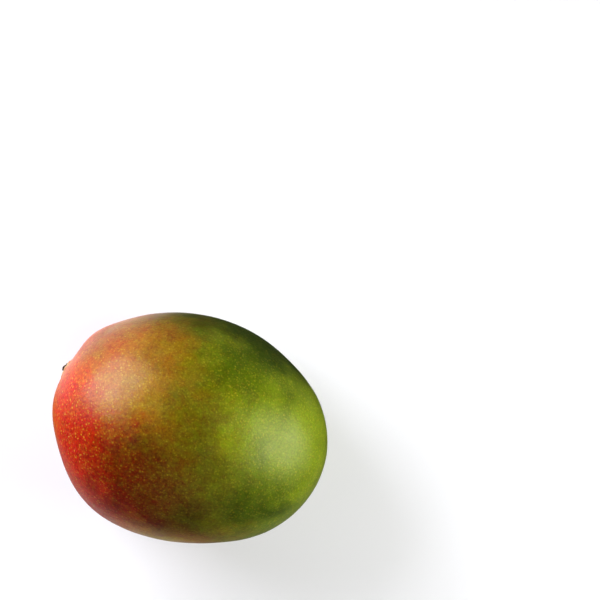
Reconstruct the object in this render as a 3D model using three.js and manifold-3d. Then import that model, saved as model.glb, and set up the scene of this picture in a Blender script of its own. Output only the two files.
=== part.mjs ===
// A whole ripe mango lying on its cheek, with the short snapped stub of its stalk.
// Millimetres. +X runs from the stalk end to the tip and +Z is up. The origin is on the surface
// that the fruit rests on, under the middle of its bounding box.

import * as THREE from "three";
import { mergeVertices } from "three/addons/utils/BufferGeometryUtils.js";
import Module from "manifold-3d";

const wasm = await Module();
wasm.setup();

// Driving dimensions of the fruit.
const LENGTH = 122.8; // stalk end to tip
const WIDTH = 100.2; // edge to edge, across the flat stone inside
const THICKNESS = 90; // cheek to cheek, before the resting spot is pressed in
const WIDTH_TAPER = 0.014; // share by which the width grows at the stalk end and shrinks at the tip
const THICKNESS_TAPER = 0.08; // the same for the thickness
const CHEEK_FULLNESS = 0.1; // how much flatter and fuller the cheeks are than an ellipsoid's
const REST_SPOT_DEPTH = 1.0; // how far the cheek is pressed flat where the fruit lies
const REST_LEAN = 1.4; // degrees the tip sinks, so that the weight is over the resting spot
const SKIN_DETAIL = 16; // splits of each edge of the icosahedron that the skin starts from

// Driving dimensions of the stalk's stub.
const STALK_AZIMUTH = 168.5; // degrees about +Z from the tip
const STALK_ELEVATION = -10; // degrees above the fruit's middle plane
const STALK_HEIGHT = 3.8; // above the skin
const STALK_RADIUS = 2.1;
const STALK_SIDES = 36;
const COLLAR_RADIUS = 3.4; // the flared foot that sits in the basin
const COLLAR_LIFT = 0.4; // the foot's underside above the skin
const PLUG_RADIUS = 1.8; // the root that stands in the fruit's socket
const PLUG_DEPTH = 2.6;
const GAP = 0.3; // between the stalk and the fruit's socket

// Swellings (+) and hollows (-) of the skin: height in millimetres at the centre, azimuth and
// elevation of the centre, and spread, the angle over which it fades, all in degrees.
const SWELLS = [
  { name: "back shoulder", azimuth: 146, elevation: 0, height: 1.3, spread: 7 },
  { name: "stalk-end flat", azimuth: 207, elevation: 0, height: -2.0, spread: 12 },
  { name: "belly shoulder", azimuth: 243, elevation: 0, height: 1.8, spread: 15 },
  { name: "sinus above the beak", azimuth: 290, elevation: 0, height: -1.0, spread: 12 },
  { name: "beak", azimuth: 318, elevation: 0, height: 0.6, spread: 12 },
  { name: "back flat", azimuth: 54, elevation: 0, height: -0.9, spread: 11 },
  { name: "upper cheek", azimuth: 200, elevation: 48, height: 0.8, spread: 24 },
  { name: "lower cheek", azimuth: 15, elevation: -50, height: 0.7, spread: 24 },
  { name: "stalk basin", azimuth: STALK_AZIMUTH, elevation: STALK_ELEVATION, height: -2.2, spread: 11 },
];

// The unit vector at an azimuth and elevation given in degrees.
function direction(azimuth, elevation) {
  const turn = THREE.MathUtils.degToRad(azimuth);
  const rise = THREE.MathUtils.degToRad(elevation);
  const level = Math.cos(rise);
  return new THREE.Vector3(level * Math.cos(turn), level * Math.sin(turn), Math.sin(rise));
}

// The point of the skin that a unit vector of the starting sphere is carried to.
function skinPoint(unit) {
  const fullness = 1 + CHEEK_FULLNESS * (1 - unit.z * unit.z);
  const point = new THREE.Vector3(
    (unit.x * LENGTH) / 2,
    ((unit.y * WIDTH) / 2) * (1 - WIDTH_TAPER * unit.x),
    ((unit.z * THICKNESS) / 2) * fullness * (1 - THICKNESS_TAPER * unit.x),
  );
  for (const { azimuth, elevation, height, spread } of SWELLS) {
    const away = THREE.MathUtils.radToDeg(unit.angleTo(direction(azimuth, elevation)));
    point.addScaledVector(unit, height * Math.exp(-0.5 * (away / spread) ** 2));
  }
  return point;
}

// The skin's outward normal there, from two short steps across it.
function skinNormal(unit) {
  const step = 0.01;
  const east = new THREE.Vector3(-unit.y, unit.x, 0).normalize();
  const north = unit.clone().cross(east);
  const here = skinPoint(unit);
  const along = skinPoint(unit.clone().addScaledVector(east, step).normalize()).sub(here);
  const across = skinPoint(unit.clone().addScaledVector(north, step).normalize()).sub(here);
  return along.cross(across).normalize();
}

// A closed mesh as a manifold-3d solid, and back.
function toSolid(geometry) {
  geometry.deleteAttribute("normal");
  geometry.deleteAttribute("uv");
  const merged = mergeVertices(geometry);
  const vertProperties = merged.attributes.position.array;
  return new wasm.Manifold(new wasm.Mesh({ numProp: 3, vertProperties, triVerts: merged.index.array }));
}

function toGeometry(solid) {
  const { vertProperties, triVerts } = solid.getMesh();
  const geometry = new THREE.BufferGeometry();
  geometry.setAttribute("position", new THREE.BufferAttribute(vertProperties, 3));
  geometry.setIndex(new THREE.BufferAttribute(triVerts, 1));
  geometry.computeVertexNormals();
  return geometry;
}

// The skin and flesh, grown as one body: a fine icosahedron carried onto the skin.
function fruitBody() {
  const geometry = new THREE.IcosahedronGeometry(1, SKIN_DETAIL - 1);
  const points = geometry.attributes.position;
  const unit = new THREE.Vector3();
  for (let i = 0; i < points.count; i += 1) {
    unit.fromBufferAttribute(points, i).normalize();
    points.setXYZ(i, ...skinPoint(unit));
  }
  return geometry;
}

// The block below the fruit that presses its resting spot flat.
function tableUnder(lowest) {
  const block = new THREE.BoxGeometry(LENGTH, WIDTH, THICKNESS);
  block.translate(0, 0, lowest + REST_SPOT_DEPTH - THICKNESS / 2);
  return block;
}

// The stub, up its own +Z from the skin: a plug in the fruit, a lobed collar, and a ridged shaft
// that tapers to a ragged break.
function stalkStub() {
  const profile = [
    [0, -PLUG_DEPTH],
    [PLUG_RADIUS, -PLUG_DEPTH],
    [PLUG_RADIUS, COLLAR_LIFT],
    [COLLAR_RADIUS * 0.96, COLLAR_LIFT],
    [COLLAR_RADIUS, COLLAR_LIFT + 0.1 * STALK_HEIGHT],
    [COLLAR_RADIUS * 0.86, COLLAR_LIFT + 0.22 * STALK_HEIGHT],
    [STALK_RADIUS * 1.12, COLLAR_LIFT + 0.36 * STALK_HEIGHT],
    [STALK_RADIUS, COLLAR_LIFT + 0.6 * STALK_HEIGHT],
    [STALK_RADIUS * 0.9, STALK_HEIGHT],
    [STALK_RADIUS * 0.5, STALK_HEIGHT * 0.96],
    [0, STALK_HEIGHT * 0.92],
  ];
  const outline = profile.map(([radius, height]) => new THREE.Vector2(radius, height));
  const geometry = new THREE.LatheGeometry(outline, STALK_SIDES);
  geometry.rotateX(Math.PI / 2);
  const points = geometry.attributes.position;
  for (let i = 0; i < points.count; i += 1) {
    const [x, y, z] = [points.getX(i), points.getY(i), points.getZ(i)];
    const angle = Math.atan2(y, x);
    const outside = THREE.MathUtils.smoothstep(z, 0, COLLAR_LIFT);
    const foot = 1 - THREE.MathUtils.smoothstep(z, COLLAR_LIFT, STALK_HEIGHT / 2);
    const top = THREE.MathUtils.smoothstep(z, STALK_HEIGHT / 2, STALK_HEIGHT);
    const lobes = 0.09 * foot * Math.cos(3 * angle + 0.6);
    const ridges = 0.05 * Math.cos(6 * angle + 0.35 * z);
    const swell = 1 + outside * (lobes + ridges);
    const ragged = top * (0.45 * Math.cos(angle - 0.8) + 0.22 * Math.cos(5 * angle));
    points.setXYZ(i, x * swell, y * swell, z + (Math.hypot(x, y) / STALK_RADIUS) * ragged);
  }
  return geometry;
}

const skinColour = new THREE.MeshStandardMaterial({ color: "#8f7a1e", roughness: 0.42, metalness: 0 });
const stalkColour = new THREE.MeshStandardMaterial({ color: "#6b5127", roughness: 0.85, metalness: 0 });

// The stalk's seat: where the stub meets the skin, and which way it points.
const seat = new THREE.Group();
const seatDirection = direction(STALK_AZIMUTH, STALK_ELEVATION);
seat.position.copy(skinPoint(seatDirection));
seat.quaternion.setFromUnitVectors(new THREE.Vector3(0, 0, 1), skinNormal(seatDirection));
seat.updateMatrix();

const stalk = new THREE.Mesh(stalkStub(), stalkColour);
stalk.name = "stalk";
seat.add(stalk);

// The socket that the plug stands in, a gap wider and deeper all round.
const socketRadius = PLUG_RADIUS + GAP;
const socketLength = 2 * (PLUG_DEPTH + GAP); // as much again outside the skin
const socket = new THREE.CylinderGeometry(socketRadius, socketRadius, socketLength, STALK_SIDES);
socket.rotateX(Math.PI / 2);
socket.applyMatrix4(seat.matrix);

// The fruit is leant over as it lies before the resting spot is cut level.
const lean = new THREE.Matrix4().makeRotationY(THREE.MathUtils.degToRad(REST_LEAN));
const body = toGeometry(toSolid(fruitBody()).subtract(toSolid(socket))).applyMatrix4(lean);
body.computeBoundingBox();
const fruitSolid = toSolid(body).subtract(toSolid(tableUnder(body.boundingBox.min.z)));
const fruit = new THREE.Mesh(toGeometry(fruitSolid), skinColour);
fruit.name = "fruit";

const leaning = new THREE.Group();
leaning.applyMatrix4(lean);
leaning.add(seat);

// The whole mango, moved so that the origin is under the middle of its box.
const mango = new THREE.Group();
mango.add(fruit, leaning);
const box = new THREE.Box3().setFromObject(mango, true);
const middle = box.getCenter(new THREE.Vector3());
mango.position.set(-middle.x, -middle.y, -box.min.z);

export default mango;
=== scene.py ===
import math

import bmesh
import bpy
from mathutils import Matrix, Vector, noise


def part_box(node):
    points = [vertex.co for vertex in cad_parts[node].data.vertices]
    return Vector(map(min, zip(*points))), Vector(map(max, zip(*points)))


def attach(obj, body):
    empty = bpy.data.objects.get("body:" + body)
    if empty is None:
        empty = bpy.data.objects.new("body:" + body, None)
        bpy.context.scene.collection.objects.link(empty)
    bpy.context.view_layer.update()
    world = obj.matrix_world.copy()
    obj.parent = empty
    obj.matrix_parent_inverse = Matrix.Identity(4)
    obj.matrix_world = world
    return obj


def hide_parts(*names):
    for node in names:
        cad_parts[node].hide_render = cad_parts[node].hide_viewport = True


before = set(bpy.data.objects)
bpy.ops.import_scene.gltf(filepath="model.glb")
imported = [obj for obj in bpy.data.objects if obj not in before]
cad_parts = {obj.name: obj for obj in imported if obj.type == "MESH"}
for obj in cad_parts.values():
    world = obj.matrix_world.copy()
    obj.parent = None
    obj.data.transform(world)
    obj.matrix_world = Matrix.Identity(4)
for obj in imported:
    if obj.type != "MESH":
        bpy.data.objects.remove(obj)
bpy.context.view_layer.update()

# ---------------------------------------------------------------------------- the camera
# It hangs straight above the table on a long lens. The mango lies in the picture's lower left,
# with its stalk to the upper left and its tip to the lower right.
MM = 0.001
LENS = 100  # in the camera's own millimetres, as is the sensor
SENSOR = 36
PICTURE = 600  # pixels each way
PIXEL = 0.44 * MM  # of the mango, at its middle height
MANGO_PIXEL = (190.6, 429.2)  # where its middle shows, from the picture's upper left corner
PICTURE_TURN = math.radians(15.7)  # of the picture's level edge from +X
CLIP_END = 20  # metres, past the wall round the table

fruit_low, fruit_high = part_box("fruit")
fruit_middle = (fruit_low + fruit_high) / 2
turn = Matrix.Rotation(PICTURE_TURN, 3, "Z")
aside = turn @ Vector((PICTURE / 2 - MANGO_PIXEL[0], MANGO_PIXEL[1] - PICTURE / 2, 0)) * PIXEL

camera = bpy.data.objects.new("camera", bpy.data.cameras.new("camera"))
camera.data.lens = LENS
camera.data.sensor_width = SENSOR
camera.data.clip_end = CLIP_END
camera.rotation_euler = (0, 0, PICTURE_TURN)
camera.location = fruit_middle + aside + Vector((0, 0, PICTURE * PIXEL * LENS / SENSOR))
bpy.context.scene.collection.objects.link(camera)
bpy.context.scene.camera = camera

# ---------------------------------------------------------------------------- the table
# A wide sheet of dull white paper, lit a little through from below, that the mango lies on. Far
# out, a white wall stands all round it. It only closes the view, and lights nothing.
TABLE_HALF = 6.0
WALL_RADIUS = 5.5
WALL_HEIGHT = 9.0
WALL_SIDES = 96
PAPER_REFLECTS = 0.75
NEAR_GLOW = 0.25  # of the paper round the mango
FAR_GLOW = 0.72  # of the paper where no lamp reaches
GLOW_CHANGES = (0.25, 0.8)  # metres from the origin, between which one shades into the other
WALL_GLOW = 0.76


class Field:
    """Something that varies over a surface, for shader maths: one socket of a node tree."""

    def __init__(self, tree, socket=None):
        self.tree = tree
        self.socket = socket

    def node(self, kind, settings=None, inputs=None, output=0):
        """A new node of this kind: its settings come first, then its inputs' values or links."""
        made = self.tree.nodes.new(kind)
        for name, value in (settings or {}).items():
            setattr(made, name, value)
        for name, value in (inputs or {}).items():
            if isinstance(value, Field):
                self.tree.links.new(value.socket, made.inputs[name])
            else:
                made.inputs[name].default_value = value
        return Field(self.tree, made.outputs[output])

    def other(self, output):
        """Another output of the node that this one comes from."""
        return Field(self.tree, self.socket.node.outputs[output])

    def feed(self, socket):
        """Link this to one of a shader's own sockets."""
        self.tree.links.new(self.socket, socket)

    def math(self, operation, first, second):
        """The result of one of the shader's sums on two values or fields."""
        return self.node("ShaderNodeMath", {"operation": operation}, {0: first, 1: second})

    def __add__(self, value):
        return self.math("ADD", self, value)

    def __sub__(self, value):
        return self.math("SUBTRACT", self, value)

    def __rsub__(self, value):
        return self.math("SUBTRACT", value, self)

    def __mul__(self, value):
        return self.math("MULTIPLY", self, value)

    def fade(self, start, end, low=0.0, high=1.0):
        """A smooth change from low, where this is at start, to high, where it is at end."""
        inputs = {"Value": self, "From Min": start, "From Max": end, "To Min": low, "To Max": high}
        return self.node("ShaderNodeMapRange", {"interpolation_type": "SMOOTHSTEP"}, inputs)


def new_material(name):
    """A material, and its shader."""
    made = bpy.data.materials.new(name)
    made.use_nodes = True
    return made, made.node_tree.nodes["Principled BSDF"]


def white_paper(name, reflects):
    """A dull white paper that reflects this much, and its shader."""
    paper, shader = new_material(name)
    paper.cycles.emission_sampling = "NONE"
    shader.inputs["Base Color"].default_value = (reflects, reflects, reflects, 1)
    shader.inputs["Roughness"].default_value = 0.9
    shader.inputs["Specular IOR Level"].default_value = 0.2
    shader.inputs["Emission Strength"].default_value = 1
    return paper, shader


def new_object(name, bm):
    """The object that a finished bmesh becomes, in the scene."""
    mesh = bpy.data.meshes.new(name)
    bm.to_mesh(mesh)
    bm.free()
    made = bpy.data.objects.new(name, mesh)
    bpy.context.scene.collection.objects.link(made)
    return made


bm = bmesh.new()
bmesh.ops.create_grid(bm, x_segments=1, y_segments=1, size=TABLE_HALF)
table = new_object("table", bm)
table.visible_glossy = False  # so the skin's edges stay dark, as over a small sheet
paper, shader = white_paper("table_paper", PAPER_REFLECTS)
where = Field(paper.node_tree).node("ShaderNodeTexCoord", output="Object")
far = where.node("ShaderNodeVectorMath", {"operation": "LENGTH"}, {0: where}, "Value")
far.fade(*GLOW_CHANGES, NEAR_GLOW, FAR_GLOW).feed(shader.inputs["Emission Color"])
table.data.materials.append(paper)

bm = bmesh.new()
bmesh.ops.create_cone(
    bm, cap_ends=False, segments=WALL_SIDES, radius1=WALL_RADIUS, radius2=WALL_RADIUS, depth=WALL_HEIGHT
)
bmesh.ops.translate(bm, verts=bm.verts, vec=(0, 0, WALL_HEIGHT / 2))
backdrop = new_object("backdrop", bm)
backdrop.visible_diffuse = False
backdrop.visible_glossy = False
backdrop.visible_shadow = False
paper, shader = white_paper("wall_paper", 0.0)
shader.inputs["Emission Color"].default_value = (WALL_GLOW, WALL_GLOW, WALL_GLOW, 1)
backdrop.data.materials.append(paper)

# ---------------------------------------------------------------------------- the light
# Two soft boxes stand low on the mango's left and right, with a weak sheet of light in front
# that leaves no gleam. The room is dark, but for two pale walls on the left and a dim one in front.
LAMPS = (
    # name, direction from the fruit in the picture: right, up, towards the camera; distance,
    # width and height in metres, watts, how blue it is, and whether it shows in the skin's gloss
    ("left_box", (-0.65, 0.56, 0.53), 0.48, 0.34, 0.36, 3.3, 1.12, True),
    ("right_box", (0.89, -0.10, 0.42), 0.48, 0.30, 0.40, 2.1, 1.0, True),
    ("front_sheet", (0.05, -0.80, 0.60), 1.2, 1.0, 1.0, 4.5, 1.0, False),
)
WALLS = (
    # direction in the picture, how far it spreads as cosines, the heights between which it fades
    # out, as sines, and brightness
    ((-0.77, 0.64, 0), (0.74, 0.96), (0, 0.4), 1.5),
    ((-0.67, -0.74, 0), (0.75, 1.0), (-0.85, -0.35), 0.42),
    ((0.15, -0.99, 0), (0.3, 0.95), (-0.7, -0.2), 0.14),
)
ROOM = (0.025, 0.015)  # the rest of the room's brightness at the horizon, and overhead
OVERHEAD = 0.4  # the height, as a sine, where overhead starts

for name, (right, up, out), distance, width, height, watts, blue, gleams in LAMPS:
    lamp = bpy.data.objects.new(name, bpy.data.lights.new(name, "AREA"))
    lamp.data.shape = "RECTANGLE"
    lamp.data.size = width
    lamp.data.size_y = height
    lamp.data.energy = watts
    lamp.data.color = (1, 1, blue)
    lamp.visible_camera = False
    lamp.visible_glossy = gleams
    direction = (turn @ Vector((right, up, out))).normalized()
    lamp.location = fruit_middle + direction * distance
    lamp.rotation_euler = direction.to_track_quat("Z", "Y").to_euler()
    bpy.context.scene.collection.objects.link(lamp)

world = bpy.data.worlds.new("room")
world.use_nodes = True
bpy.context.scene.world = world
background = world.node_tree.nodes["Background"]
background.inputs["Strength"].default_value = 1
look = Field(world.node_tree).node("ShaderNodeTexCoord", output="Generated")
height = look.node("ShaderNodeSeparateXYZ", inputs={"Vector": look}, output="Z")
level = look.node("ShaderNodeVectorMath", {"operation": "MULTIPLY"}, {0: look, 1: (1, 1, 0)})
level = level.node("ShaderNodeVectorMath", {"operation": "NORMALIZE"}, {0: level})
glow = height.fade(0, OVERHEAD, *ROOM)
for direction, (start, full), (fading, top), brightness in WALLS:
    inputs = {0: level, 1: (turn @ Vector(direction)).normalized()}
    facing = level.node("ShaderNodeVectorMath", {"operation": "DOT_PRODUCT"}, inputs, "Value")
    glow = facing.fade(start, full, 0, brightness) * height.fade(fading, top, 1, 0) + glow
glow.feed(background.inputs["Color"])
bpy.context.scene.view_settings.view_transform = "Standard"

# ---------------------------------------------------------------------------- the fruit
# The fruit is skin and flesh, grown as one body round a flat stone. It is as long and as wide as
# the stone's edge makes it and flatter from cheek to cheek. Its waxy skin is stretched smooth,
# and draws in round the stalk, which stands in a shallow basin at one end.
LENGTH = 122.8 * MM  # stalk end to tip
WIDTH = 100.2 * MM
THICKNESS = 90 * MM  # cheek to cheek
WIDTH_TAPER = 0.014  # share by which it is wider at the stalk end and narrower at the tip
THICKNESS_TAPER = 0.08  # the same for the thickness
CHEEK_FULLNESS = 0.1  # how much flatter and fuller the cheeks are than an ellipsoid's
REST_SPOT_DEPTH = 1.0 * MM  # how far the lower cheek is pressed flat
REST_SPOT_ROUNDING = 0.3 * MM
REST_LEAN = math.radians(1.4)  # the tip's, downwards
SKIN_SPLITS = 7  # of the icosahedron that the skin starts from
UNDULATION = 0.22 * MM  # the skin's slow rise and fall
STALK_AZIMUTH = 168.5
STALK_ELEVATION = -10
SCAR_AZIMUTH = -17  # of the dry scar that the flower's style left near the tip
SCAR_ELEVATION = -9
SWELL_ENDS = 5  # spreads away from its centre, where a swelling has died out
SEAT_STEP = 0.01  # across the starting sphere, to find which way the skin faces at the stalk

# Swellings (+) and hollows (-): azimuth and elevation of the centre in degrees, height in
# millimetres, and the spread in degrees over which it fades.
SWELLS = (
    ("back shoulder", 146, 0, 1.3, 7),
    ("stalk-end flat", 207, 0, -2.0, 12),
    ("belly shoulder", 243, 0, 1.8, 15),
    ("sinus above the beak", 290, 0, -1.0, 12),
    ("beak", 318, 0, 0.6, 12),
    ("back flat", 54, 0, -0.9, 11),
    ("upper cheek", 200, 48, 0.8, 24),
    ("lower cheek", 15, -50, 0.7, 24),
    ("stalk basin", STALK_AZIMUTH, STALK_ELEVATION, -2.2, 11),
    ("scar's dimple", SCAR_AZIMUTH, SCAR_ELEVATION, -0.35, 1.6),
)


def towards(azimuth, elevation):
    """The unit vector at an azimuth and elevation in degrees."""
    around = math.radians(azimuth)
    rise = math.radians(elevation)
    level = math.cos(rise)
    return Vector((level * math.cos(around), level * math.sin(around), math.sin(rise)))


swells = []
for _, azimuth, rise, height, spread in SWELLS:
    swells.append((towards(azimuth, rise), height * MM, math.radians(spread)))


def skin_point(unit):
    """The point of the skin that a unit vector of the starting sphere is carried to."""
    fullness = 1 + CHEEK_FULLNESS * (1 - unit.z**2)
    point = Vector((
        unit.x * LENGTH / 2,
        unit.y * WIDTH / 2 * (1 - WIDTH_TAPER * unit.x),
        unit.z * THICKNESS / 2 * fullness * (1 - THICKNESS_TAPER * unit.x),
    ))
    for centre, height, spread in swells:
        away = math.acos(max(-1, min(1, unit.dot(centre)))) / spread
        if away < SWELL_ENDS:
            point += unit * height * math.exp(-away * away / 2)
    return point


# The stalk's seat: where it leaves the skin, which way it points, and two ways across it.
seat_unit = towards(STALK_AZIMUTH, STALK_ELEVATION)
seat = skin_point(seat_unit)
east = Vector((-seat_unit.y, seat_unit.x, 0))
step_east = (seat_unit + east * SEAT_STEP).normalized()
step_north = (seat_unit + seat_unit.cross(east) * SEAT_STEP).normalized()
seat_out = (skin_point(step_east) - seat).cross(skin_point(step_north) - seat).normalized()
seat_up = (Vector((0, 0, 1)) - seat_out * seat_out.z).normalized()
seat_side = seat_up.cross(seat_out)

MOUND_HEIGHT = 2.5 * MM  # of the corky skin that swells round the stalk's foot
MOUND_REACH = 7.8 * MM
MOUND_SLOPE = 3.2 * MM  # the width of its side
LIP_RADIUS = 3.9 * MM  # of the rim on it
LIP_HEIGHT = 0.25 * MM
LIP_WIDTH = 0.7 * MM
PUCKER_HEIGHT = 0.16 * MM
PUCKER_REACH = 11 * MM
PUCKERS = 11
PUCKER_TWIST = 3 * MM  # of distance for each radian that they turn


def round_the_stalk(point):
    """How far the skin stands out near the stalk: the mound, its lip, and puckers round them."""
    across = point - seat
    if across.length > PUCKER_REACH:
        return 0
    distance = (across - seat_out * across.dot(seat_out)).length
    angle = math.atan2(across.dot(seat_up), across.dot(seat_side))
    uneven = noise.noise(Vector((math.cos(angle), math.sin(angle), 0.3)) * 1.7)
    inwards = min(1, max(0, MOUND_REACH * (1 + 0.15 * uneven) - distance) / MOUND_SLOPE)
    mound = MOUND_HEIGHT * (1 + 0.3 * uneven) * inwards * inwards * (3 - 2 * inwards)
    lip_radius = LIP_RADIUS * (1 + 0.12 * uneven)
    lip = LIP_HEIGHT * (1 + uneven) * math.exp(-(((distance - lip_radius) / LIP_WIDTH) ** 2))
    fade = max(0, 1 - distance / PUCKER_REACH) ** 1.5
    pucker = PUCKER_HEIGHT * fade * math.sin(PUCKERS * angle + 2.5 * uneven + distance / PUCKER_TWIST)
    return mound + lip + pucker


def face_outwards(bm):
    """Turn all the faces outwards, and shade them as one smooth surface."""
    bmesh.ops.recalc_face_normals(bm, faces=bm.faces)
    for face in bm.faces:
        face.smooth = True


scar_unit = towards(SCAR_AZIMUTH, SCAR_ELEVATION)
FINER = (
    # where the skin's mesh is split again: centre, reach in degrees, cuts to each edge
    (seat_unit, 13, 1),
    (seat_unit, 9, 1),
    (scar_unit, 4, 2),
)

bm = bmesh.new()
bmesh.ops.create_icosphere(bm, subdivisions=SKIN_SPLITS, radius=1)
for centre, reach, cuts in FINER:
    edge_of_reach = math.cos(math.radians(reach))
    near = {vert for vert in bm.verts if vert.co.normalized().dot(centre) > edge_of_reach}
    edges = [edge for edge in bm.edges if near.issuperset(edge.verts)]
    bmesh.ops.subdivide_edges(bm, edges=edges, cuts=cuts, use_grid_fill=True)
bmesh.ops.triangulate(bm, faces=bm.faces)
for vert in bm.verts:
    unit = vert.co.normalized()
    point = skin_point(unit)
    slow = noise.noise(unit * 2.3 + Vector((4, 1, 7))) + 0.35 * noise.noise(unit * 6.1)
    vert.co = point + unit * (UNDULATION * slow + round_the_stalk(point))

lean = Matrix.Rotation(REST_LEAN, 4, "Y")
bmesh.ops.transform(bm, matrix=lean, verts=bm.verts)
level = min(vert.co.z for vert in bm.verts) + REST_SPOT_DEPTH
for vert in bm.verts:
    above = vert.co.z - level
    vert.co.z = level + (above + math.hypot(above, REST_SPOT_ROUNDING)) / 2

# The skin, but for the mound, is brought onto the CAD body's box. They differ by under 0.2 mm.
plain = [vert.co for vert in bm.verts if (vert.co - lean @ seat).length > PUCKER_REACH]
low = Vector(min(point[axis] for point in plain) for axis in range(3))
high = Vector(max(point[axis] for point in plain) for axis in range(3))
fit = Matrix.Diagonal([(fruit_high[i] - fruit_low[i]) / (high[i] - low[i]) for i in range(3)])
middle_move = Matrix.Translation(-(low + high) / 2)
onto_body = Matrix.Translation(fruit_middle) @ fit.to_4x4() @ middle_move
bmesh.ops.transform(bm, matrix=onto_body, verts=bm.verts)
face_outwards(bm)
fruit = new_object("fruit_skin", bm)

# The skin's colours, mostly as pigments: a green ground that ripens to gold, under a red blush that thins
# out cloudily over the green. Along the back's edge the deep green is partly painted shade, and along the
# belly's lower edge the gold is partly a painted warm reflection. Sizes are in millimetres, and so are
# places, from the fruit's middle.
GREEN = (142, 166, 2)
DARK_GREEN = (48, 68, 0)
GOLD = (208, 149, 4)
RED = (1.0, 0.05, 0.2)  # what share of red, green and blue the blush lets through
SUNNY = (-0.85, -0.35)  # along X and Y: the side that the sun reached, and the blush is on
BLUSH_FADE = (-46, 34, -0.16, 0.99)  # that way, where it starts and is full; how strong it is there
RIPE_FADE = (-12, -62)  # along X, where it starts to be ripe and is fully so
GREEN_DEPTH = 0.62  # from pale, 0, to deep, 1
RED_PATCHES = (
    # centre, reach, amount
    ((-10, -48, 8), 28, -0.6),  # the belly's lower edge, and on to its underside, where the thinner blush partly paints a warm reflection
    ((4, -45, 13), 16, -0.4),
    ((-14, -44, -20), 30, -0.35),
    ((-35, -2, 37), 15, 0.4),  # between the belly and the pale patch
    ((-28, 11, 41), 32, -0.62),  # the pale patch on the upper cheek
    ((-24, 28, 30), 16, -0.15),  # above it, towards the back
    ((-4, 31, 32), 16, -0.16),
    ((-52, 15, 20), 14, -0.1),
    ((18, 2, 44), 18, 0.14),  # where the last of the blush thins out
    ((-42, 34, 18), 36, -0.36),  # the back's shoulder
    ((-60, 5, 2), 22, -0.2),  # the stalk end
    ((-56, -13, 5), 18, -0.2),
    ((-20, 10, -44), 40, -0.45),  # the lower cheek, which lay in the shade
)
STEADY_RED_PATCHES = (
    # these stay put, where the rest are carried off by the skin's cloudiness
    ((2, -46, 14), 18, -0.45),  # gold, low on the belly
    ((-57, -13, 10), 20, -0.26),  # the stalk end's rim
    ((-60, 0, 8), 16, -0.16),
    ((-42, 9, 34), 16, -0.12),  # the pale patch's outer side
    ((-4, 28, 34), 10, -0.14),
)
STEADY_RIPE_PATCHES = (
    # these stay put too
    ((8, -45, 12), 20, 0.6),  # low on the belly
    ((-55, -17, 10), 16, 0.3),  # the stalk end's rim
)
RIPE_AND_REFLECTION_PATCHES = (
    # centre, reach, amount, as for the red
    ((-24, 8, 42), 26, 0.35),  # the upper cheek, and on towards the back
    ((-17, 30, 34), 26, 0.3),
    ((-30, 24, 34), 14, 0.12),
    ((-32, -9, 38), 16, 0.2),  # below the pale patch
    ((-21, -25, 36), 26, 0.06),
    ((30, -34, 16), 14, 0.12),
    ((-49, 29, 14), 22, -0.4),  # the stalk end's unripe shoulder
    ((-50, -18, 10), 20, 0.3),  # the belly, and its lower edge, whose gold is partly a painted warm reflection
    ((-34, -36, 14), 30, 0.5),
    ((-14, -46, 10), 30, 0.6),
    ((-12, -50, -6), 34, 0.55),
    ((0, -4, -46), 44, 0.5),  # the lower cheek
)
DEEP_GREEN_AND_SHADE_PATCHES = (
    # centre, reach, and how much deeper the green is; along the back's edge that depth is partly painted
    # shade
    ((44, 12, 26), 42, -0.6),  # the pale green cheek beside the tip
    ((40, 0, 36), 14, 0.12),
    ((20, 8, 40), 24, -0.32),  # the middle of the upper cheek
    ((25, 23, 33), 14, -0.18),
    ((0, 16, 44), 24, -0.12),
    ((14, 1, 44), 17, 0.2),
    ((4, 38, 22), 14, -0.25),  # the back, with its deep green edge, darkened further with painted shade
    ((25, 50, 8), 48, 0.52),
    ((33, 30, 20), 12, 0.32),
    ((31, 40, 12), 8, -0.25),
    ((-4, 28, 34), 10, 0.12),
    ((2, -8, 45), 13, -0.12),  # the middle of the upper cheek again
    ((10, 45, 18), 14, 0.14),  # the back's edge again, deep green with painted shade
    ((-7, 47, 8), 14, 0.2),
    ((18, 42, -22), 30, -0.4),  # the back's underside
    ((37, -18, 30), 26, 0.37),  # along the belly
    ((48, -20, 18), 16, 0.2),
    ((12, -29, 30), 16, 0.22),
    ((28, -9, 40), 14, -0.12),
    ((20, -48, 2), 30, -0.45),
)


def pigment(red, green, blue):
    """The linear colour, with its alpha, of one given in the usual 0 to 255."""
    shares = [value / 255 for value in (red, green, blue)]
    return [s / 12.92 if s <= 0.04045 else ((s + 0.055) / 1.055) ** 2.4 for s in shares] + [1]


def clouds(place, size, detail):
    """Cloudy variation round 0.5, with clouds of this size and this many finer layers in them."""
    return place.node("ShaderNodeTexNoise", None, {"Vector": place, "Scale": 1 / size, "Detail": detail})


def drifted(place, size, distance):
    """The place, carried off by up to half of a distance in clouds of this size."""
    drift = clouds(place, size, 2.0).other("Color")
    inputs = {0: drift, 1: (distance, distance, distance), 2: (-distance / 2, -distance / 2, -distance / 2)}
    offset = place.node("ShaderNodeVectorMath", {"operation": "MULTIPLY_ADD"}, inputs)
    return place.node("ShaderNodeVectorMath", {"operation": "ADD"}, {0: place, 1: offset})


def distance_to(place, centre):
    """How far the place is from a centre."""
    return place.node("ShaderNodeVectorMath", {"operation": "DISTANCE"}, {0: place, 1: centre}, "Value")


def with_patches(place, amount, patches):
    """An amount with soft round patches added to it, kept between 0 and 1."""
    for centre, reach, extra in patches:
        amount = amount + distance_to(place, centre).fade(reach, 0, 0, extra)
    return amount.node("ShaderNodeClamp", None, {"Value": amount})


def mixed(first, second, amount):
    """One colour shading into another where the amount rises from 0 to 1."""
    inputs = {0: amount, 6: first, 7: second}
    return amount.node("ShaderNodeMix", {"data_type": "RGBA"}, inputs, 2)


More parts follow.
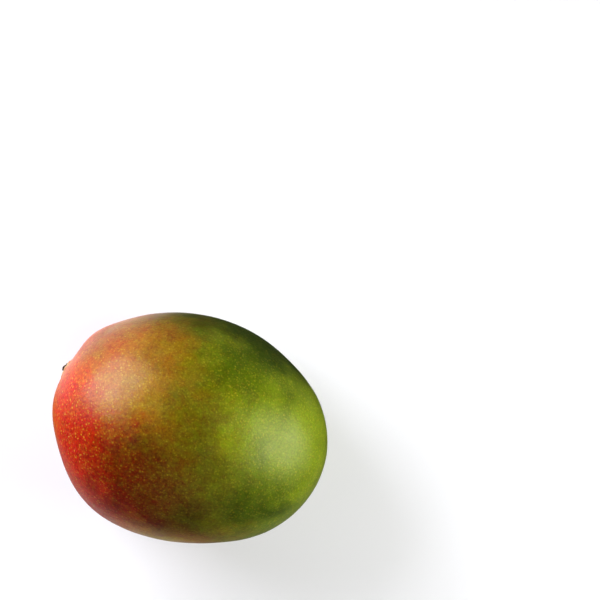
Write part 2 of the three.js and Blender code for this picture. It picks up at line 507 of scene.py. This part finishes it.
def tinted(colour, filter_colour, amount):
    """A colour seen through a filter, as strong as the amount."""
    inputs = {0: amount, 6: colour, 7: filter_colour}
    return amount.node("ShaderNodeMix", {"data_type": "RGBA", "blend_type": "MULTIPLY"}, inputs, 2)


CLOUD = 16  # the size of the large clouds that carry the colours off
CLOUD_DRIFT = 30  # from one side of a cloud's reach to the other
BLOTCH = 4.5  # the same for the blotches in them
BLOTCH_DRIFT = 12
MOTTLE = 6
FRECKLE = 2.6

skin, skin_shader = new_material("mango_skin")
own = Field(skin.node_tree).node("ShaderNodeTexCoord", output="Object")
inputs = {"Vector": own, "Location": -fruit_middle / MM, "Scale": (1 / MM, 1 / MM, 1 / MM)}
place = own.node("ShaderNodeMapping", None, inputs)
cloudy = drifted(place, CLOUD, CLOUD_DRIFT)
blotchy = drifted(cloudy, BLOTCH, BLOTCH_DRIFT)
x = blotchy.node("ShaderNodeSeparateXYZ", None, {"Vector": blotchy}, "X")
y = x.other("Y")

# The blush is heaviest at the stalk end and along the belly. Its edge is cloudy, and it is freckled
# where it thins out. The green is deeper in some places than in others, with softer edges, and along
# the back's edge it is darkened further with painted shade.
mottle = clouds(place, MOTTLE, 4.0) - 0.5
freckles = clouds(place, FRECKLE, 3.0) - 0.5
blush = (x * SUNNY[0] + y * SUNNY[1]).fade(*BLUSH_FADE) + mottle * 0.36
blush = with_patches(blotchy, blush, RED_PATCHES)
blush = with_patches(place, blush + freckles * blush.fade(0, 0.5, 0.2, 0.5), STEADY_RED_PATCHES)
# The ripeness also holds a painted warm reflection along the belly's lower edge.
ripe_and_reflection = with_patches(blotchy, x.fade(*RIPE_FADE), RIPE_AND_REFLECTION_PATCHES)
ripe_and_reflection = with_patches(place, ripe_and_reflection, STEADY_RIPE_PATCHES)
# This deep green mask also holds painted shade along the back's edge.
dark = with_patches(cloudy, mottle * 0.14 + freckles * 0.09 + GREEN_DEPTH, DEEP_GREEN_AND_SHADE_PATCHES)

# Lenticels: pores that show as pale dots all over, with finer specks between them that show best in
# the green. No two dots are quite alike.
LENTICEL_SPACING = 1.4
LENTICEL_EDGE = (0.48, 0.12)  # from its middle, where it starts and is full, in spacings
SPECK_SPACING = 1.05
SPECK_EDGE = (0.5, 0.1)
strewn = drifted(place, 3, 1.2)
dots = strewn.node("ShaderNodeTexVoronoi", None, {"Vector": strewn, "Scale": 1 / LENTICEL_SPACING})
odd = dots.node("ShaderNodeSeparateXYZ", None, {"Vector": dots.other("Color")})
lenticels = (dots + odd * 0.12).fade(*LENTICEL_EDGE) * odd.other("Y").fade(0.0, 0.6, 0.45, 1.0)
specks = strewn.node("ShaderNodeTexVoronoi", None, {"Vector": strewn, "Scale": 1 / SPECK_SPACING})
speck_odd = specks.node("ShaderNodeSeparateXYZ", None, {"Vector": specks.other("Color")})
fine = specks.fade(*SPECK_EDGE) * speck_odd.fade(0.0, 0.9)

CREAM = (222, 198, 66)  # the lenticels' corky cells
PALE = (220, 198, 40)  # the specks between them
GRAIN_TINT = (228, 222, 180)  # the skin's fine grain, all over
DEEP_TINT = (214, 170, 150)  # between the lenticels, where the blush is heavy
grain = clouds(place, 0.8, 2.0).fade(0.32, 0.68)
deep = clouds(place, 1.2, 2.0).fade(0.42, 0.72)
ground = mixed(mixed(pigment(*GREEN), pigment(*DARK_GREEN), dark), pigment(*GOLD), ripe_and_reflection)
faint = dark.fade(0.4, 1, 1, 0.45)  # in the deep green and the painted shade along the back's edge, where they are darker too
shown = blush.fade(0, 0.4, 0.21, 0.13) * faint + ripe_and_reflection.fade(0.2, 0.8, 0, 0.29)
ground = mixed(ground, pigment(*CREAM), lenticels * shown)
ground = mixed(ground, pigment(*PALE), fine * blush.fade(0.4, 0, 0.15, 0.31) * faint)
shaded = lenticels * ripe_and_reflection.fade(0.1, 0.8, 0.38, 0.64)  # from the sun, so less red
colour = tinted(ground, (*RED, 1), blush * (1 - shaded - fine * 0.12))
colour = tinted(colour, pigment(*GRAIN_TINT), grain)
colour = tinted(colour, pigment(*DEEP_TINT), deep * (1 - lenticels) * blush)

# The mound round the stalk is corky: cream, with brown flecks. The scar near the tip is brown.
CORK = (216, 188, 138)
CORK_EDGE = (7.6, 5.4)  # from the stalk, where it starts and is full
FLECKS = (96, 58, 30)
FLECKS_EDGE = (9, 4)
SCAR = (88, 60, 34)
SCAR_EDGE = (1.5, 0.8)
seat_place = (onto_body @ lean @ seat - fruit_middle) / MM
scar_place = (onto_body @ lean @ skin_point(scar_unit) - fruit_middle) / MM
flecked = clouds(place, 1.1, 3.0)
cork = distance_to(drifted(place, 2, 2), seat_place).fade(*CORK_EDGE) * flecked.fade(0.3, 0.55, 0.35, 0.9)
colour = mixed(colour, pigment(*CORK), cork)
flecks = distance_to(place, seat_place).fade(*FLECKS_EDGE) * flecked.fade(0.6, 0.68)
colour = mixed(colour, pigment(*FLECKS), flecks * 0.7)
scar = distance_to(drifted(place, 1, 0.9), scar_place).fade(*SCAR_EDGE)
colour = mixed(colour, pigment(*SCAR), scar * 0.85)
colour.feed(skin_shader.inputs["Base Color"])

# The skin is waxy, and shines a little unevenly. It is stretched over the oil cells under it, so it
# is faintly pebbled.
WAX_ROUGHNESS = (0.32, 0.40)
WAX_IOR = 1.39
WAX_TINT = (1, 0.95, 0.86, 1)
roughness = clouds(place, 7, 4.0).fade(0.3, 0.7, *WAX_ROUGHNESS)
roughness.feed(skin_shader.inputs["Roughness"])
skin_shader.inputs["IOR"].default_value = WAX_IOR
skin_shader.inputs["Specular Tint"].default_value = WAX_TINT
pebble = clouds(place, 1.3, 2.0) * 0.07 + lenticels * 0.012 + clouds(place, 0.5, 1.0) * 0.02
inputs = {"Height": pebble, "Strength": 1.0, "Distance": MM}
pebble.node("ShaderNodeBump", None, inputs).feed(skin_shader.inputs["Normal"])
fruit.data.materials.append(skin)
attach(fruit, "root")
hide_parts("fruit")

# ---------------------------------------------------------------------------- the stalk
# The fruit hung from a woody stalk, which was snapped off a few millimetres above the skin. What
# is left is a ridged stub on a three-lobed collar, with ragged fibres at the break.
STALK_RADIUS = 2.1
STALK_PROFILE = (
    # radius, and height above the skin, in millimetres: up the outside, then over the break
    (0, -1.4),
    (2.7, -1.4),
    (3.2, 1.3),
    (3.3, 1.8),
    (3.0, 2.25),
    (2.4, 2.65),
    (2.1, 3.05),
    (2.0, 3.6),
    (1.9, 4.1),
    (1.5, 4.3),
    (1.0, 4.0),
    (0.4, 3.8),
    (0, 3.9),
)
STALK_TURNS = 96  # steps of the lathe
BURIED_FADE = 0.4  # above the skin, in which the foot takes on its lobes and ridges
COLLAR_TOP = 2.8  # where the lobes have died out again
COLLAR_FADE = 1.2  # below that, in which they do
BREAK_FOOT = 3.1  # where the stub starts to be ragged
BREAK_HEIGHT = 1.0

bm = bmesh.new()
verts = [bm.verts.new((radius, 0, height)) for radius, height in STALK_PROFILE]
edges = [bm.edges.new(pair) for pair in zip(verts, verts[1:])]
bmesh.ops.subdivide_edges(bm, edges=edges, cuts=3)
bmesh.ops.spin(
    bm,
    geom=bm.verts[:] + bm.edges[:],
    cent=(0, 0, 0),
    axis=(0, 0, 1),
    angle=2 * math.pi,
    steps=STALK_TURNS,
    use_merge=True,
)
bmesh.ops.remove_doubles(bm, verts=bm.verts, dist=0.002)
bmesh.ops.smooth_vert(bm, verts=bm.verts, factor=0.5, use_axis_x=True, use_axis_y=True, use_axis_z=True)
for vert in bm.verts:
    x, y, z = vert.co
    angle = math.atan2(y, x)
    outside = min(1, max(0, z / BURIED_FADE))
    foot = min(1, max(0, (COLLAR_TOP - z) / COLLAR_FADE)) * outside
    top = min(1, max(0, (z - BREAK_FOOT) / BREAK_HEIGHT))
    lobes = 0.09 * foot * math.cos(3 * angle + 0.6)
    ridges = 0.05 * outside * math.cos(6 * angle + 0.35 * z)
    fibres = 0.06 * outside * noise.noise(Vector((math.cos(angle) * 5, math.sin(angle) * 5, z * 0.5)))
    swell = 1 + lobes + ridges + fibres
    rim = math.hypot(x, y) / STALK_RADIUS
    splinters = 0.5 * noise.noise(Vector((x * 1.6, y * 1.6, 0.5)))
    splinters += 0.35 * noise.noise(Vector((x * 4, y * 4, 2)))
    ragged = top * (0.3 * rim * math.cos(angle - 0.8) + 0.1 * rim * math.cos(5 * angle) + splinters)
    vert.co = (x * swell, y * swell, z + ragged)

stalk_frame = Matrix((seat_side, seat_up, seat_out)).transposed().to_4x4()
stalk_frame.translation = seat
onto_fruit = onto_body @ lean @ stalk_frame @ Matrix.Scale(MM, 4)
bmesh.ops.transform(bm, matrix=onto_fruit, verts=bm.verts)
face_outwards(bm)

# The lathe leaves the mesh in no fixed order, so it is sorted by place.
for number, vert in enumerate(sorted(bm.verts, key=lambda vert: vert.co[:])):
    vert.index = number
for number, face in enumerate(sorted(bm.faces, key=lambda face: face.calc_center_median()[:])):
    face.index = number
bm.verts.sort()
bm.faces.sort()
stalk = new_object("stalk_stub", bm)

# Its colours, in two shades each: greenish wood at the foot, then bark, and broken wood at the top.
GREEN_WOOD = ((196, 172, 112), (142, 116, 62))
BARK = ((102, 76, 36), (42, 29, 13))
BROKEN_WOOD = ((46, 32, 14), (150, 118, 66))
BARK_FOOT = (2.3, 3.1)  # the heights where it starts and is full
BROKEN_FOOT = (3.5, 4.1)
WOOD_ROUGHNESS = 0.82
BARK_RELIEF = 0.25 * MM


def two_tone(shades, amount):
    """A colour between two shades, by the amount."""
    first, second = shades
    return mixed(pigment(*first), pigment(*second), amount)


wood, wood_shader = new_material("stalk_wood")
own = Field(wood.node_tree).node("ShaderNodeTexCoord", output="Object")
from_fruit = onto_fruit.inverted()
inputs = {
    "Vector": own,
    "Location": from_fruit.translation,
    "Rotation": from_fruit.to_euler(),
    "Scale": (1 / MM, 1 / MM, 1 / MM),
}
place = own.node("ShaderNodeMapping", None, inputs)
height = place.node("ShaderNodeSeparateXYZ", None, {"Vector": place}, "Z")
along = place.node("ShaderNodeMapping", None, {"Vector": place, "Scale": (1, 1, 0.22)})
grain = clouds(along, 0.45, 3.0)
uneven = clouds(place, 1.4, 2.0) - 0.5
bark = two_tone(BARK, grain.fade(0.4, 0.62))
green_wood = two_tone(GREEN_WOOD, grain.fade(0.38, 0.64))
colour = mixed(green_wood, bark, (height + uneven * 2.4).fade(*BARK_FOOT))
broken = two_tone(BROKEN_WOOD, clouds(place, 0.8, 2.0).fade(0.45, 0.66))
colour = mixed(colour, broken, (height + uneven * 1.4).fade(*BROKEN_FOOT))
colour.feed(wood_shader.inputs["Base Color"])
wood_shader.inputs["Roughness"].default_value = WOOD_ROUGHNESS
inputs = {"Height": grain, "Strength": 1.0, "Distance": BARK_RELIEF}
grain.node("ShaderNodeBump", None, inputs).feed(wood_shader.inputs["Normal"])
stalk.data.materials.append(wood)
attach(stalk, "root")
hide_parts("stalk")
